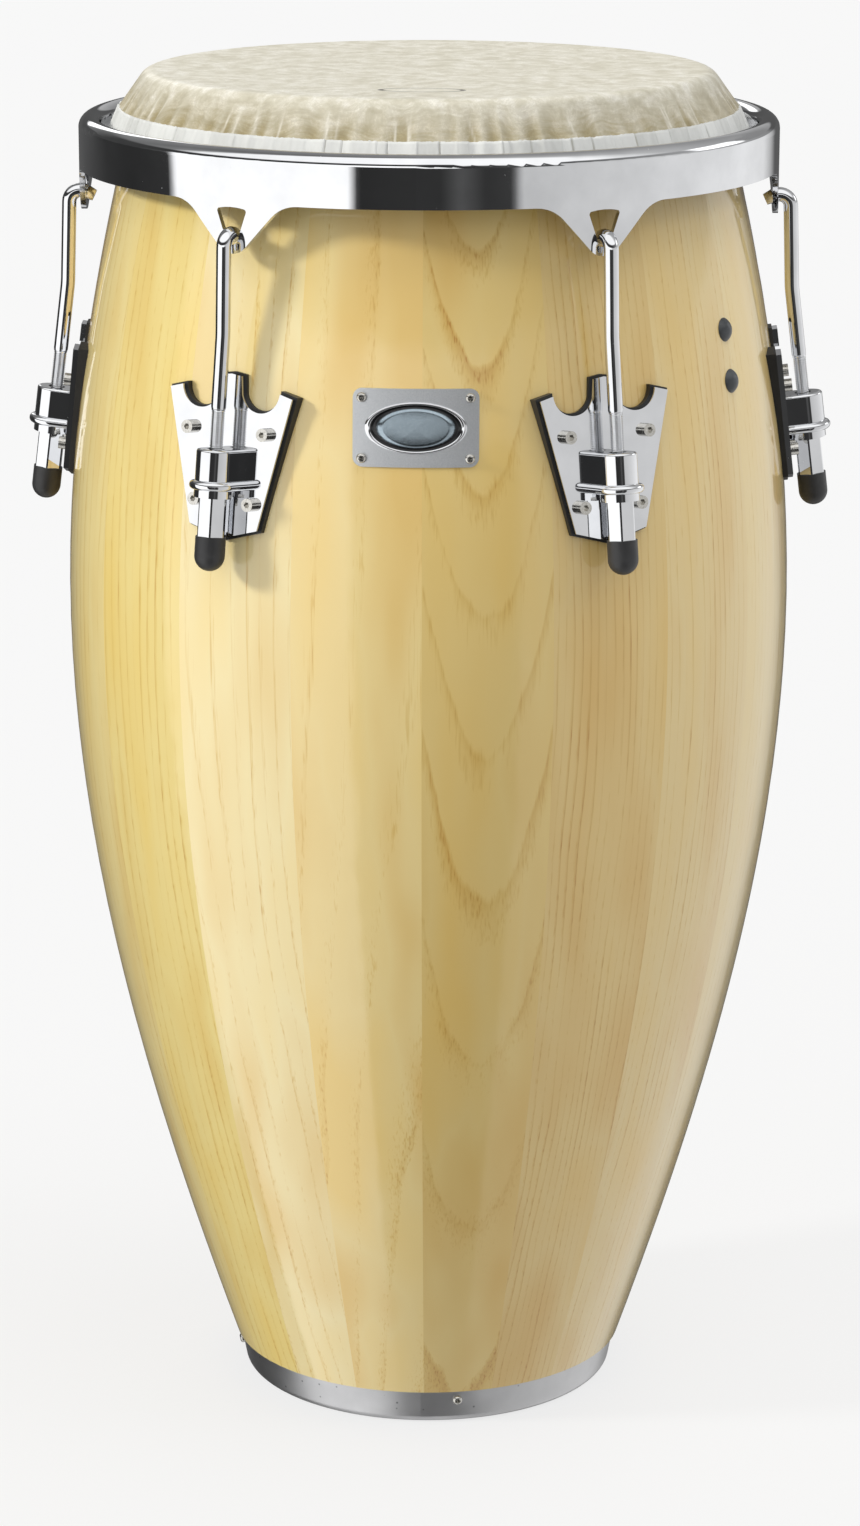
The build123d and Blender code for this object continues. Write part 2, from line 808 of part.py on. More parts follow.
with BuildPart() as plate_nuts:
    for azimuth in lug_angles:
        for place in screw_places:
            seat = lug_plane(azimuth).offset(nut_seat(place))
            with BuildSketch(seat):
                with Locations(place):
                    Circle(flange_nut_radius)
            extrude(amount=-flange_nut_flange)
            with BuildSketch(seat):
                with Locations(place):
                    RegularPolygon(flange_nut_flats / 2, 6, major_radius=False)
            extrude(amount=-flange_nut_height)
            with BuildSketch(seat):
                with Locations(place):
                    Circle(screw_diameter / 2)
            extrude(amount=-flange_nut_height, mode=Mode.SUBTRACT)
save(plate_nuts.part, "plate_nuts")

# ---- badge and plugs ----------------------------------------------------------------

with BuildPart() as badge_blank:
    with BuildSketch(badge_plane.offset(hole_reach / 2)):
        RectangleRounded(badge_width, badge_tall, badge_corner)
        with Locations(*badge_screw_places):
            Circle(badge_screw_shank / 2 + screw_hole_clearance, mode=Mode.SUBTRACT)
    extrude(amount=-hole_reach)

badge_low = badge_height - badge_tall
badge_high = badge_height + badge_tall
with BuildPart() as badge:
    with BuildSketch(radial_plane(0)):
        Polygon(
            (0, badge_low),
            (shell_radius(badge_low) + badge_thickness, badge_low),
            (shell_radius(badge_high) + badge_thickness, badge_high),
            (0, badge_high),
            align=None,
        )
    revolve(axis=Axis.Z)
    add(badge_blank.part, mode=Mode.INTERSECT)
    add(shell_form.part, mode=Mode.SUBTRACT)
save(badge.part, "badge")


def badge_face(place):
    """Plane of a badge screw's head: where its inner side meets the curved badge."""
    height = badge_height + place[1]
    radius = shell_radius(height + badge_screw_head) + badge_thickness
    across = abs(place[0]) - badge_screw_head
    return badge_plane.offset(sqrt(radius**2 - across**2) - shell_radius(badge_height))


with BuildPart() as badge_screws:
    for place in badge_screw_places:
        pan_screw(badge_face(place), 2 * badge_screw_head, badge_screw_shank, badge_screw_length, [place])
save(badge_screws.part, "badge_screws")

plug_sphere = (plug_radius**2 + plug_dome**2) / (2 * plug_dome)

with BuildPart() as hole_plugs:
    for height in plug_heights:
        face = plug_plane(height)
        with BuildSketch(Plane(origin=face.origin, x_dir=face.x_dir, z_dir=-face.y_dir)):
            with BuildLine():
                Polyline(
                    (0, plug_dome),
                    (0, -plug_stem_length),
                    (plug_stem_radius, -plug_stem_length),
                    (plug_stem_radius, 0),
                    (plug_radius, 0),
                )
                RadiusArc((plug_radius, 0), (0, plug_dome), -plug_sphere)
            make_face()
        revolve(axis=Axis(origin=face.origin, direction=face.z_dir))
save(hole_plugs.part, "hole_plugs")
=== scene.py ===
import json
import random
from math import acos, cos, pi, radians, sin, tan

import bpy
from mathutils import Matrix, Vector, noise
from mathutils.bvhtree import BVHTree


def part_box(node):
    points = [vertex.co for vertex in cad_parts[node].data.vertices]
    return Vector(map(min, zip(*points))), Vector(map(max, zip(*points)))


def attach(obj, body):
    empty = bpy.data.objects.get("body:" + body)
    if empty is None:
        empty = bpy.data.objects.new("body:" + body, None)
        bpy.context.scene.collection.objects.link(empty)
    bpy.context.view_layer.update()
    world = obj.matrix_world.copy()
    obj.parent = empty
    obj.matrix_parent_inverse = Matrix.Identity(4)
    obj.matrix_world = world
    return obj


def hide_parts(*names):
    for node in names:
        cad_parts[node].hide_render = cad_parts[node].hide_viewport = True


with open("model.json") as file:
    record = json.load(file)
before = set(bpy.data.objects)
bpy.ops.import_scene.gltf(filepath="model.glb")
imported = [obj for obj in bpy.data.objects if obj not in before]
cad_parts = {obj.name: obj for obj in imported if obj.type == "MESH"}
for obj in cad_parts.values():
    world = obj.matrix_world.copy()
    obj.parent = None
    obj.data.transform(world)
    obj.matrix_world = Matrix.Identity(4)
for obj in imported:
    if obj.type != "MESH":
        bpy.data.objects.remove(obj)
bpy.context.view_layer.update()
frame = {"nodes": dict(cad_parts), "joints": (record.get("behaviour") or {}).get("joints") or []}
nodes = frame["nodes"]
mm = 0.001

scene = bpy.context.scene
scene.view_settings.view_transform = "Standard"  # so that the hex colours come out as written


def srgb(hexCode, alpha=1.0):
    parts = [int(hexCode[i : i + 2], 16) / 255 for i in (1, 3, 5)]
    return (*[p / 12.92 if p <= 0.04045 else ((p + 0.055) / 1.055) ** 2.4 for p in parts], alpha)


def addNode(tree, kind, settings):
    # a key is a property of the node, or a socket's name or number; a value that is a node
    # or a socket is linked, and "stops" fills a colour ramp with (place, hex colour or grey value)
    node = tree.nodes.new("ShaderNode" + kind)
    for key, value in settings.items():
        if key == "stops":
            ramp = node.color_ramp
            while len(ramp.elements) < len(value):
                ramp.elements.new(1.0)
            for element, (place, colour) in zip(ramp.elements, value):
                element.position = place
                element.color = srgb(colour) if isinstance(colour, str) else (colour, colour, colour, 1)
            continue
        if isinstance(key, str) and key not in node.inputs:
            setattr(node, key, value)
            continue
        socket = node.inputs[key]
        if isinstance(value, bpy.types.Node):
            value = value.outputs[0]
        if isinstance(value, bpy.types.NodeSocket):
            tree.links.new(value, socket)
        else:
            socket.default_value = value
    return node


def startMaterial(name):
    material = bpy.data.materials.new(name)
    material.use_nodes = True
    tree = material.node_tree
    tree.nodes.clear()
    shader = tree.nodes.new("ShaderNodeBsdfPrincipled")
    output = tree.nodes.new("ShaderNodeOutputMaterial")
    tree.links.new(shader.outputs["BSDF"], output.inputs["Surface"])
    place = tree.nodes.new("ShaderNodeTexCoord").outputs["Object"]
    return material, tree, shader, place


def connect(tree, shader, settings):
    for key, value in settings.items():
        if isinstance(value, bpy.types.Node):
            value = value.outputs[0]
        if isinstance(value, bpy.types.NodeSocket):
            tree.links.new(value, shader.inputs[key])
        else:
            shader.inputs[key].default_value = value


def around(azimuth, radius, height):
    # azimuth in degrees from the badge's side, radius and height in millimetres
    a = radians(azimuth)
    return Vector((radius * sin(a), -radius * cos(a), height)) * mm


def paint(material, *names):
    for name in names:
        slots = nodes[name].data.materials
        slots.clear()
        slots.append(material)


def makePiece(name, points, faces, material, body, replaced=()):
    mesh = bpy.data.meshes.new(name)
    mesh.from_pydata([tuple(p) for p in points], [], faces)
    mesh.update()
    mesh.polygons.foreach_set("use_smooth", [True] * len(mesh.polygons))
    mesh.materials.append(material)
    piece = bpy.data.objects.new(name, mesh)
    scene.collection.objects.link(piece)
    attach(piece, body)
    if replaced:
        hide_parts(*replaced)
    return piece


def gridFaces(rows, columns, wrap=True):
    last = columns if wrap else columns - 1
    return [
        (
            r * columns + c,
            r * columns + (c + 1) % columns,
            (r + 1) * columns + (c + 1) % columns,
            (r + 1) * columns + c,
        )
        for r in range(rows - 1)
        for c in range(last)
    ]


# Ash staves, bent and turned, under a thick gloss lacquer: open grain with a dark early-wood
# line to each year's ring, pale cream to golden, and a clear wet-looking coat.
ash = {
    "light": "#F6E4AC",
    "middle": "#EBD28F",
    "ring": "#CFA25A",
    "ringSpacing": 4.2,  # mm, a year's growth
    "pore": 0.5,  # mm across; real pores are 0.2, drawn coarser so that they show
    "poreLength": 26.0,
    "fibre": 1.1,
    "sway": 8.0,  # mm that the rings wander over a third of a metre
    "wobble": 0.9,
    "leanHeight": 450.0,  # mm up, where a stave's pith is given
    "bulgeCut": -0.12,  # mm of depth across the rings for each mm that the shell bulges
    "bulgeRadius": 190.0,
    "staveShift": (317.0, 91.0, 533.0),
    "coatRoughness": 0.035,
}

# For each stave: where its cut lies to the pith (mm across, mm deep), how the pith leans (mm per
# mm of height), ring width share, and its tone
staveLooks = {
    1: {"pith": (-1.0, 62.0), "lean": -0.10, "rings": 1.75, "tone": "#F2E6C6", "contrast": 0.95},
    2: {"pith": (95.0, 45.0), "lean": 0.01, "rings": 0.95, "tone": "#EFE2C9", "contrast": 1.1},
    3: {"pith": (70.0, 20.0), "lean": -0.01, "rings": 1.1, "tone": "#F3EADB", "contrast": 0.9},
    4: {"pith": (110.0, 20.0), "lean": 0.0, "rings": 1.3, "tone": "#F6EEDC", "contrast": 0.7},
    18: {"pith": (40.0, 90.0), "lean": 0.03, "rings": 2.4, "tone": "#FFF8E6", "contrast": 0.55},
    17: {"pith": (-55.0, 60.0), "lean": 0.03, "rings": 1.6, "tone": "#FFFFFF", "contrast": 0.7},
    16: {"pith": (-75.0, 30.0), "lean": 0.0, "rings": 1.5, "tone": "#F9F5D8", "contrast": 0.85},
    15: {"pith": (-60.0, 35.0), "lean": -0.01, "rings": 1.7, "tone": "#F9F6E3", "contrast": 0.8},
}


def makeAsh(number, look):
    material, tree, shader, place = startMaterial(f"lacqueredAsh{number:02d}")
    middle = 1.0 + 20.0 * number - 10.0  # each stave takes up 20 degrees, the first from 1 degree
    turned = addNode(tree, "VectorRotate", {
        "rotation_type": "Z_AXIS", "Vector": place, "Angle": radians(-middle),
    })
    inMm = addNode(tree, "VectorMath", {"operation": "SCALE", 0: turned, "Scale": 1 / mm})
    # each stave is another piece of wood, so its patterns start elsewhere
    shifted = addNode(tree, "VectorMath", {
        "operation": "ADD", 0: inMm, 1: [step * number for step in ash["staveShift"]],
    })
    long = addNode(tree, "Mapping", {"Vector": shifted, "Scale": (1 / 60, 1 / 60, 1 / 330)})
    sway = addNode(tree, "TexNoise", {"Vector": long, "Scale": 1.0, "Detail": 2.0, "Roughness": 0.45})
    swayMm = addNode(tree, "MapRange", {"Value": sway, "To Min": -ash["sway"], "To Max": ash["sway"]})
    near = addNode(tree, "Mapping", {"Vector": shifted, "Scale": (1 / 12, 1 / 12, 1 / 130)})
    wobble = addNode(tree, "TexNoise", {"Vector": near, "Scale": 1.0, "Detail": 3.0})
    wobbleMm = addNode(tree, "MapRange", {
        "Value": wobble, "To Min": -ash["wobble"], "To Max": ash["wobble"],
    })
    xyz = addNode(tree, "SeparateXYZ", {"Vector": inMm})
    across = addNode(tree, "Math", {"operation": "ADD", 0: xyz.outputs["X"], 1: -look["pith"][0]})
    across = addNode(tree, "Math", {"operation": "ADD", 0: across, 1: swayMm})
    depthAtFoot = look["pith"][1] - ash["leanHeight"] * look["lean"]
    lean = addNode(tree, "Math", {
        "operation": "MULTIPLY_ADD", 0: xyz.outputs["Z"], 1: look["lean"], 2: depthAtFoot,
    })
    # a bulging stave cuts across its rings a little
    depth = addNode(tree, "Math", {
        "operation": "MULTIPLY_ADD", 0: xyz.outputs["Y"], 1: ash["bulgeCut"], 2: lean,
    })
    depth = addNode(tree, "Math", {"operation": "ADD", 0: depth, 1: ash["bulgeCut"] * ash["bulgeRadius"]})
    fromPith = addNode(tree, "CombineXYZ", {"X": across, "Y": depth})
    rings = addNode(tree, "VectorMath", {"operation": "LENGTH", 0: fromPith}).outputs["Value"]
    rings = addNode(tree, "Math", {"operation": "ADD", 0: rings, 1: wobbleMm})
    spacing = ash["ringSpacing"] * look["rings"]
    share = addNode(tree, "Math", {"operation": "MULTIPLY", 0: rings, 1: 1 / spacing})
    phase = addNode(tree, "Math", {"operation": "FRACT", 0: share})
    early = addNode(tree, "ValToRGB", {
        "Fac": phase,
        "stops": [
            (0.0, "#8A8A8A"), (0.06, "#FFFFFF"), (0.16, "#C8C8C8"), (0.42, "#4A4A4A"),
            (0.72, "#101010"), (0.93, "#000000"), (1.0, "#8A8A8A"),
        ],
    })
    # no two years are alike
    year = addNode(tree, "Math", {"operation": "FLOOR", 0: share})
    strength = addNode(tree, "TexWhiteNoise", {"noise_dimensions": "1D", "W": year})
    strengthRange = addNode(tree, "MapRange", {
        "Value": strength.outputs["Value"], "To Min": 0.35, "To Max": 1.0,
    })
    patch = addNode(tree, "Mapping", {"Vector": shifted, "Scale": (1 / 28, 1 / 28, 1 / 160)})
    patches = addNode(tree, "TexNoise", {"Vector": patch, "Scale": 1.0, "Detail": 2.0})
    fade = addNode(tree, "MapRange", {
        "Value": patches, "From Min": 0.36, "From Max": 0.62, "To Min": 0.4, "To Max": 1.0,
    })
    lineStrength = addNode(tree, "Math", {"operation": "MULTIPLY", 0: early, 1: strengthRange})
    lineStrength = addNode(tree, "Math", {"operation": "MULTIPLY", 0: lineStrength, 1: fade})
    # vessel lines: short dark dashes along the grain, most of them in the early wood
    poreScale = (1 / ash["pore"] / 2, 1 / ash["pore"] / 2, 1 / ash["poreLength"])
    poreMap = addNode(tree, "Mapping", {"Vector": shifted, "Scale": poreScale})
    pores = addNode(tree, "TexNoise", {"Vector": poreMap, "Scale": 1.0, "Detail": 1.0})
    poreDash = addNode(tree, "MapRange", {"Value": pores, "From Min": 0.52, "From Max": 0.72})
    poreWhere = addNode(tree, "Math", {"operation": "MULTIPLY_ADD", 0: lineStrength, 1: 0.45, 2: 0.06})
    poreMask = addNode(tree, "Math", {"operation": "MULTIPLY", 0: poreDash, 1: poreWhere})
    fibreMap = addNode(tree, "Mapping", {
        "Vector": shifted, "Scale": (1 / ash["fibre"], 1 / ash["fibre"], 1 / 90),
    })
    fibres = addNode(tree, "TexNoise", {"Vector": fibreMap, "Scale": 1.0, "Detail": 4.0, "Roughness": 0.62})
    lineMix = addNode(tree, "Math", {
        "operation": "MULTIPLY_ADD", 0: lineStrength, 1: 0.6 * look["contrast"], 2: poreMask,
    })
    grain = addNode(tree, "Math", {"operation": "MULTIPLY_ADD", 0: fibres, 1: 0.22, 2: lineMix})
    colour = addNode(tree, "ValToRGB", {
        "Fac": grain,
        "stops": [(0.0, ash["light"]), (0.22, ash["light"]), (0.45, ash["middle"]), (0.95, ash["ring"])],
    })
    # broad cream and honey drifts
    driftMap = addNode(tree, "Mapping", {"Vector": shifted, "Scale": (1 / 45, 1 / 45, 1 / 240)})
    drift = addNode(tree, "TexNoise", {"Vector": driftMap, "Scale": 1.0, "Detail": 2.0})
    drifts = addNode(tree, "ValToRGB", {
        "Fac": drift, "stops": [(0.3, "#F3E2BE"), (0.5, "#FFFFFF"), (0.7, "#FFF4D2")],
    })
    toned = addNode(tree, "Mix", {
        "data_type": "RGBA", "blend_type": "MULTIPLY", 0: 0.75, 6: colour, 7: drifts,
    })
    tint = addNode(tree, "Mix", {
        "data_type": "RGBA", "blend_type": "MULTIPLY", 0: 1.0, 6: toned.outputs[2], 7: srgb(look["tone"]),
    })
    relief = addNode(tree, "Math", {"operation": "MULTIPLY_ADD", 0: poreMask, 1: -1.0, 2: fibres})
    bump = addNode(tree, "Bump", {"Height": relief, "Strength": 0.10, "Distance": 0.1 * mm})
    # the lacquer has its own faint orange peel
    peelMap = addNode(tree, "Mapping", {"Vector": shifted, "Scale": (1 / 14, 1 / 14, 1 / 30)})
    peel = addNode(tree, "TexNoise", {"Vector": peelMap, "Scale": 1.0, "Detail": 1.0})
    coatBump = addNode(tree, "Bump", {"Height": peel, "Strength": 0.16, "Distance": 0.5 * mm})
    sheen = addNode(tree, "MapRange", {"Value": fibres, "To Min": 0.30, "To Max": 0.48})
    connect(tree, shader, {
        "Base Color": tint.outputs[2], "Roughness": sheen, "IOR": 1.5, "Normal": bump,
        "Coat Weight": 1.0, "Coat Roughness": ash["coatRoughness"], "Coat IOR": 1.5, "Coat Normal": coatBump,
    })
    return material


toneDraw = random.Random(11)
for number in range(1, 19):
    look = staveLooks.get(number) or {
        "pith": (toneDraw.uniform(-90, 90), toneDraw.uniform(25, 80)),
        "lean": toneDraw.uniform(-0.06, 0.06),
        "rings": toneDraw.uniform(0.9, 1.9),
        "tone": toneDraw.choice(["#F6ECD0", "#F3E8CC", "#FBF1D4", "#F1E6CC"]),
        "contrast": toneDraw.uniform(0.6, 1.1),
    }
    paint(makeAsh(number, look), f"stave_{number:02d}")
print("staves grained")


def makeChrome():
    # bright chrome plate over polished steel: a near-perfect mirror with a cold cast, faint
    # polishing haze and the odd speck
    material, tree, shader, place = startMaterial("chromePlate")
    haze = addNode(tree, "TexNoise", {"Vector": place, "Scale": 1 / (22 * mm), "Detail": 3.0})
    specks = addNode(tree, "TexVoronoi", {"Vector": place, "Scale": 1 / (7 * mm), "Randomness": 1.0})
    speck = addNode(tree, "MapRange", {
        "Value": specks.outputs["Distance"], "From Min": 0.03, "From Max": 0.05, "To Min": 0.25,
        "To Max": 0.0,
    })
    rough = addNode(tree, "MapRange", {
        "Value": haze, "From Min": 0.3, "From Max": 0.7, "To Min": 0.015, "To Max": 0.05,
    })
    roughness = addNode(tree, "Math", {"operation": "ADD", 0: rough, 1: speck})
    colour = addNode(tree, "ValToRGB", {"Fac": haze, "stops": [(0.3, "#DADBDD"), (0.7, "#E6E7E9")]})
    wave = addNode(tree, "Bump", {"Height": haze, "Strength": 0.05, "Distance": 0.2 * mm})
    connect(tree, shader, {"Base Color": colour, "Metallic": 1.0, "Roughness": roughness, "Normal": wave})
    return material


def makeScrewSteel():
    # cold-headed screws, nickel plated: slightly warm grey, turned marks, dull in the sockets
    material, tree, shader, place = startMaterial("nickelledScrew")
    grains = addNode(tree, "TexNoise", {"Vector": place, "Scale": 1 / (1.2 * mm), "Detail": 4.0})
    colour = addNode(tree, "ValToRGB", {"Fac": grains, "stops": [(0.3, "#B9B6AF"), (0.7, "#DAD8D2")]})
    rough = addNode(tree, "MapRange", {"Value": grains, "To Min": 0.12, "To Max": 0.34})
    bump = addNode(tree, "Bump", {"Height": grains, "Strength": 0.25, "Distance": 0.08 * mm})
    connect(tree, shader, {"Base Color": colour, "Metallic": 1.0, "Roughness": rough, "Normal": bump})
    return material


def makeSpunSteel():
    # spun and satin-finished steel ring: fine marks run round it, a few dings and dust specks
    material, tree, shader, place = startMaterial("spunSteel")
    xyz = addNode(tree, "SeparateXYZ", {"Vector": place})
    marks = addNode(tree, "TexNoise", {
        "noise_dimensions": "1D", "W": xyz.outputs["Z"], "Scale": 1 / (0.5 * mm), "Detail": 3.0,
    })
    cloud = addNode(tree, "TexNoise", {"Vector": place, "Scale": 1 / (30 * mm), "Detail": 3.0})
    dust = addNode(tree, "TexVoronoi", {"Vector": place, "Scale": 1 / (9 * mm)})
    dustSpot = addNode(tree, "MapRange", {
        "Value": dust.outputs["Distance"], "From Min": 0.04, "From Max": 0.09, "To Min": 1.0, "To Max": 0.0,
    })
    colour = addNode(tree, "ValToRGB", {"Fac": cloud, "stops": [(0.3, "#B6B6B7"), (0.7, "#C7C7C8")]})
    dusty = addNode(tree, "Mix", {"data_type": "RGBA", 0: dustSpot, 6: colour, 7: srgb("#77787A")})
    rough = addNode(tree, "MapRange", {"Value": marks, "To Min": 0.26, "To Max": 0.42})
    bump = addNode(tree, "Bump", {"Height": marks, "Strength": 0.10, "Distance": 0.05 * mm})
    connect(tree, shader, {
        "Base Color": dusty.outputs[2], "Metallic": 1.0, "Roughness": rough, "Normal": bump,
        "Anisotropic": 0.4,
    })
    return material


def makeBadgeNickel(name, dark, light, roughness):
    # pressed plate, bead-blasted and satin nickelled: fine sparkle, soft reflections; the raised
    # field is rubbed brighter and colder
    material, tree, shader, place = startMaterial(name)
    grit = addNode(tree, "TexNoise", {"Vector": place, "Scale": 1 / (0.45 * mm), "Detail": 3.0})
    colour = addNode(tree, "ValToRGB", {"Fac": grit, "stops": [(0.3, dark), (0.7, light)]})
    rough = addNode(tree, "MapRange", {
        "Value": grit, "To Min": roughness - 0.05, "To Max": roughness + 0.07,
    })
    bump = addNode(tree, "Bump", {"Height": grit, "Strength": 0.12, "Distance": 0.05 * mm})
    connect(tree, shader, {"Base Color": colour, "Metallic": 1.0, "Roughness": rough, "Normal": bump})
    return material


def makeMilledAluminium():
    # mill-finish aluminium channel, hidden under the rim
    material, tree, shader, place = startMaterial("millAluminium")
    cloud = addNode(tree, "TexNoise", {"Vector": place, "Scale": 1 / (6 * mm), "Detail": 4.0})
    colour = addNode(tree, "ValToRGB", {"Fac": cloud, "stops": [(0.3, "#B8BABC"), (0.7, "#CACBCD")]})
    rough = addNode(tree, "MapRange", {"Value": cloud, "To Min": 0.35, "To Max": 0.5})
    connect(tree, shader, {"Base Color": colour, "Metallic": 1.0, "Roughness": rough})
    return material


def makeMoulded(name, dark, light, grainMm, roughness, lift):
    # moulded parts take the grain of their mould: tiny pits, a broad soft sheen
    material, tree, shader, place = startMaterial(name)
    pits = addNode(tree, "TexNoise", {"Vector": place, "Scale": 1 / (grainMm * mm), "Detail": 4.0})
    cloud = addNode(tree, "TexNoise", {"Vector": place, "Scale": 1 / (9 * mm), "Detail": 2.0})
    colour = addNode(tree, "ValToRGB", {"Fac": cloud, "stops": [(0.3, dark), (0.7, light)]})
    rough = addNode(tree, "MapRange", {
        "Value": pits, "To Min": roughness - 0.06, "To Max": roughness + 0.08,
    })
    bump = addNode(tree, "Bump", {"Height": pits, "Strength": lift, "Distance": 0.1 * mm})
    connect(tree, shader, {"Base Color": colour, "Roughness": rough, "IOR": 1.5, "Normal": bump})
    return material


chromePlate = makeChrome()
nickelledScrew = makeScrewSteel()
spunSteel = makeSpunSteel()
blastedNickel = makeBadgeNickel("blastedNickel", "#D2D5D8", "#E6E8EA", 0.3)
rubbedNickel = makeBadgeNickel("rubbedNickel", "#8E9CA5", "#AAB7BF", 0.2)
millAluminium = makeMilledAluminium()
capRubber = makeMoulded("mouldedRubber", "#2B2B2C", "#343435", 0.5, 0.45, 0.25)
gasketRubber = makeMoulded("gasketRubber", "#1E1E1E", "#262625", 0.6, 0.42, 0.3)
plugNylon = makeMoulded("mouldedNylon", "#3A3D40", "#4A4D50", 1.4, 0.36, 0.5)
blackEnamel = makeMoulded("blackEnamel", "#0E0F10", "#151617", 1.5, 0.16, 0.05)
print("materials ready")

# Sizes repeat the frame's: the film turns over the bearing edge and falls to the band
film = {
    "edgeMiddle": (152.57, 753.2),
    "edgeRadius": 8.8,
    "collarAngle": 54.0,
    "knee": (171.58, 742.0),
    "end": (176.99, 729.85),
    "thickness": 0.8,
    "columns": 1080,
    "collarRadius": 168.0,  # where pleats are measured
    "pleatWidth": (9.0, 18.0),
    "pleatDepth": (0.5, 2.0),
    "creaseCount": 48,
    "creaseHalfWidth": 0.3,  # degrees
}
pleatDraw = random.Random(4)


def drawWidths(draw, low, high, radius):
    # uneven widths that close up exactly round the drum, as angles in degrees
    total = 2 * pi * radius
    widths = []
    while sum(widths) < total:
        widths.append(draw.uniform(low, high))
    edges = [0.0]
    for width in widths:
        edges.append(edges[-1] + width / sum(widths) * 360.0)
    return edges


pleatEdges = drawWidths(pleatDraw, *film["pleatWidth"], film["collarRadius"])
pleatDepths = [pleatDraw.uniform(*film["pleatDepth"]) for _ in pleatEdges]
pleatSkews = [pleatDraw.uniform(0.7, 1.6) for _ in pleatEdges]
# where each crease is, how strong, and how many degrees it drifts down the collar
creases = [
    (pleatDraw.uniform(0, 360), pleatDraw.uniform(0.5, 1.0), pleatDraw.uniform(-2.5, 2.5))
    for _ in range(film["creaseCount"])
]


def whichSpan(edges, angle):
    angle %= 360.0
    low, high = 0, len(edges) - 1
    while high - low > 1:
        middle = (low + high) // 2
        if edges[middle] <= angle:
            low = middle
        else:
            high = middle
    return low, (angle - edges[low]) / (edges[low + 1] - edges[low])


def creaseAt(angle, fall):
    # sharp little folds that show as pale lines down the collar, 0 to 1
    size, halfWidth = 0.0, film["creaseHalfWidth"]
    for place, strength, drift in creases:
        off = abs((angle - place - drift * fall + 180.0) % 360.0 - 180.0)
        if off < halfWidth:
            size = max(size, strength * (1 - off / halfWidth))
    return size * max(0.0, min(1.0, (fall - 0.2) / 0.3))


def pleatAt(angle, fall):
    # how far the film lies in, in mm; fall goes from 0 on the bearing edge to 1 at the band
    index, share = whichSpan(pleatEdges, angle)
    valley = sin(pi * share ** pleatSkews[index]) ** 1.4
    grow = max(0.0, min(1.0, fall / 0.8)) ** 1.2
    return pleatDepths[index] * valley * grow


# mm; plain ring printed near the front edge, where heads carry their maker's print
printedOval = {"halfWide": 22.0, "halfTall": 9.0, "fromMiddle": 112.0}


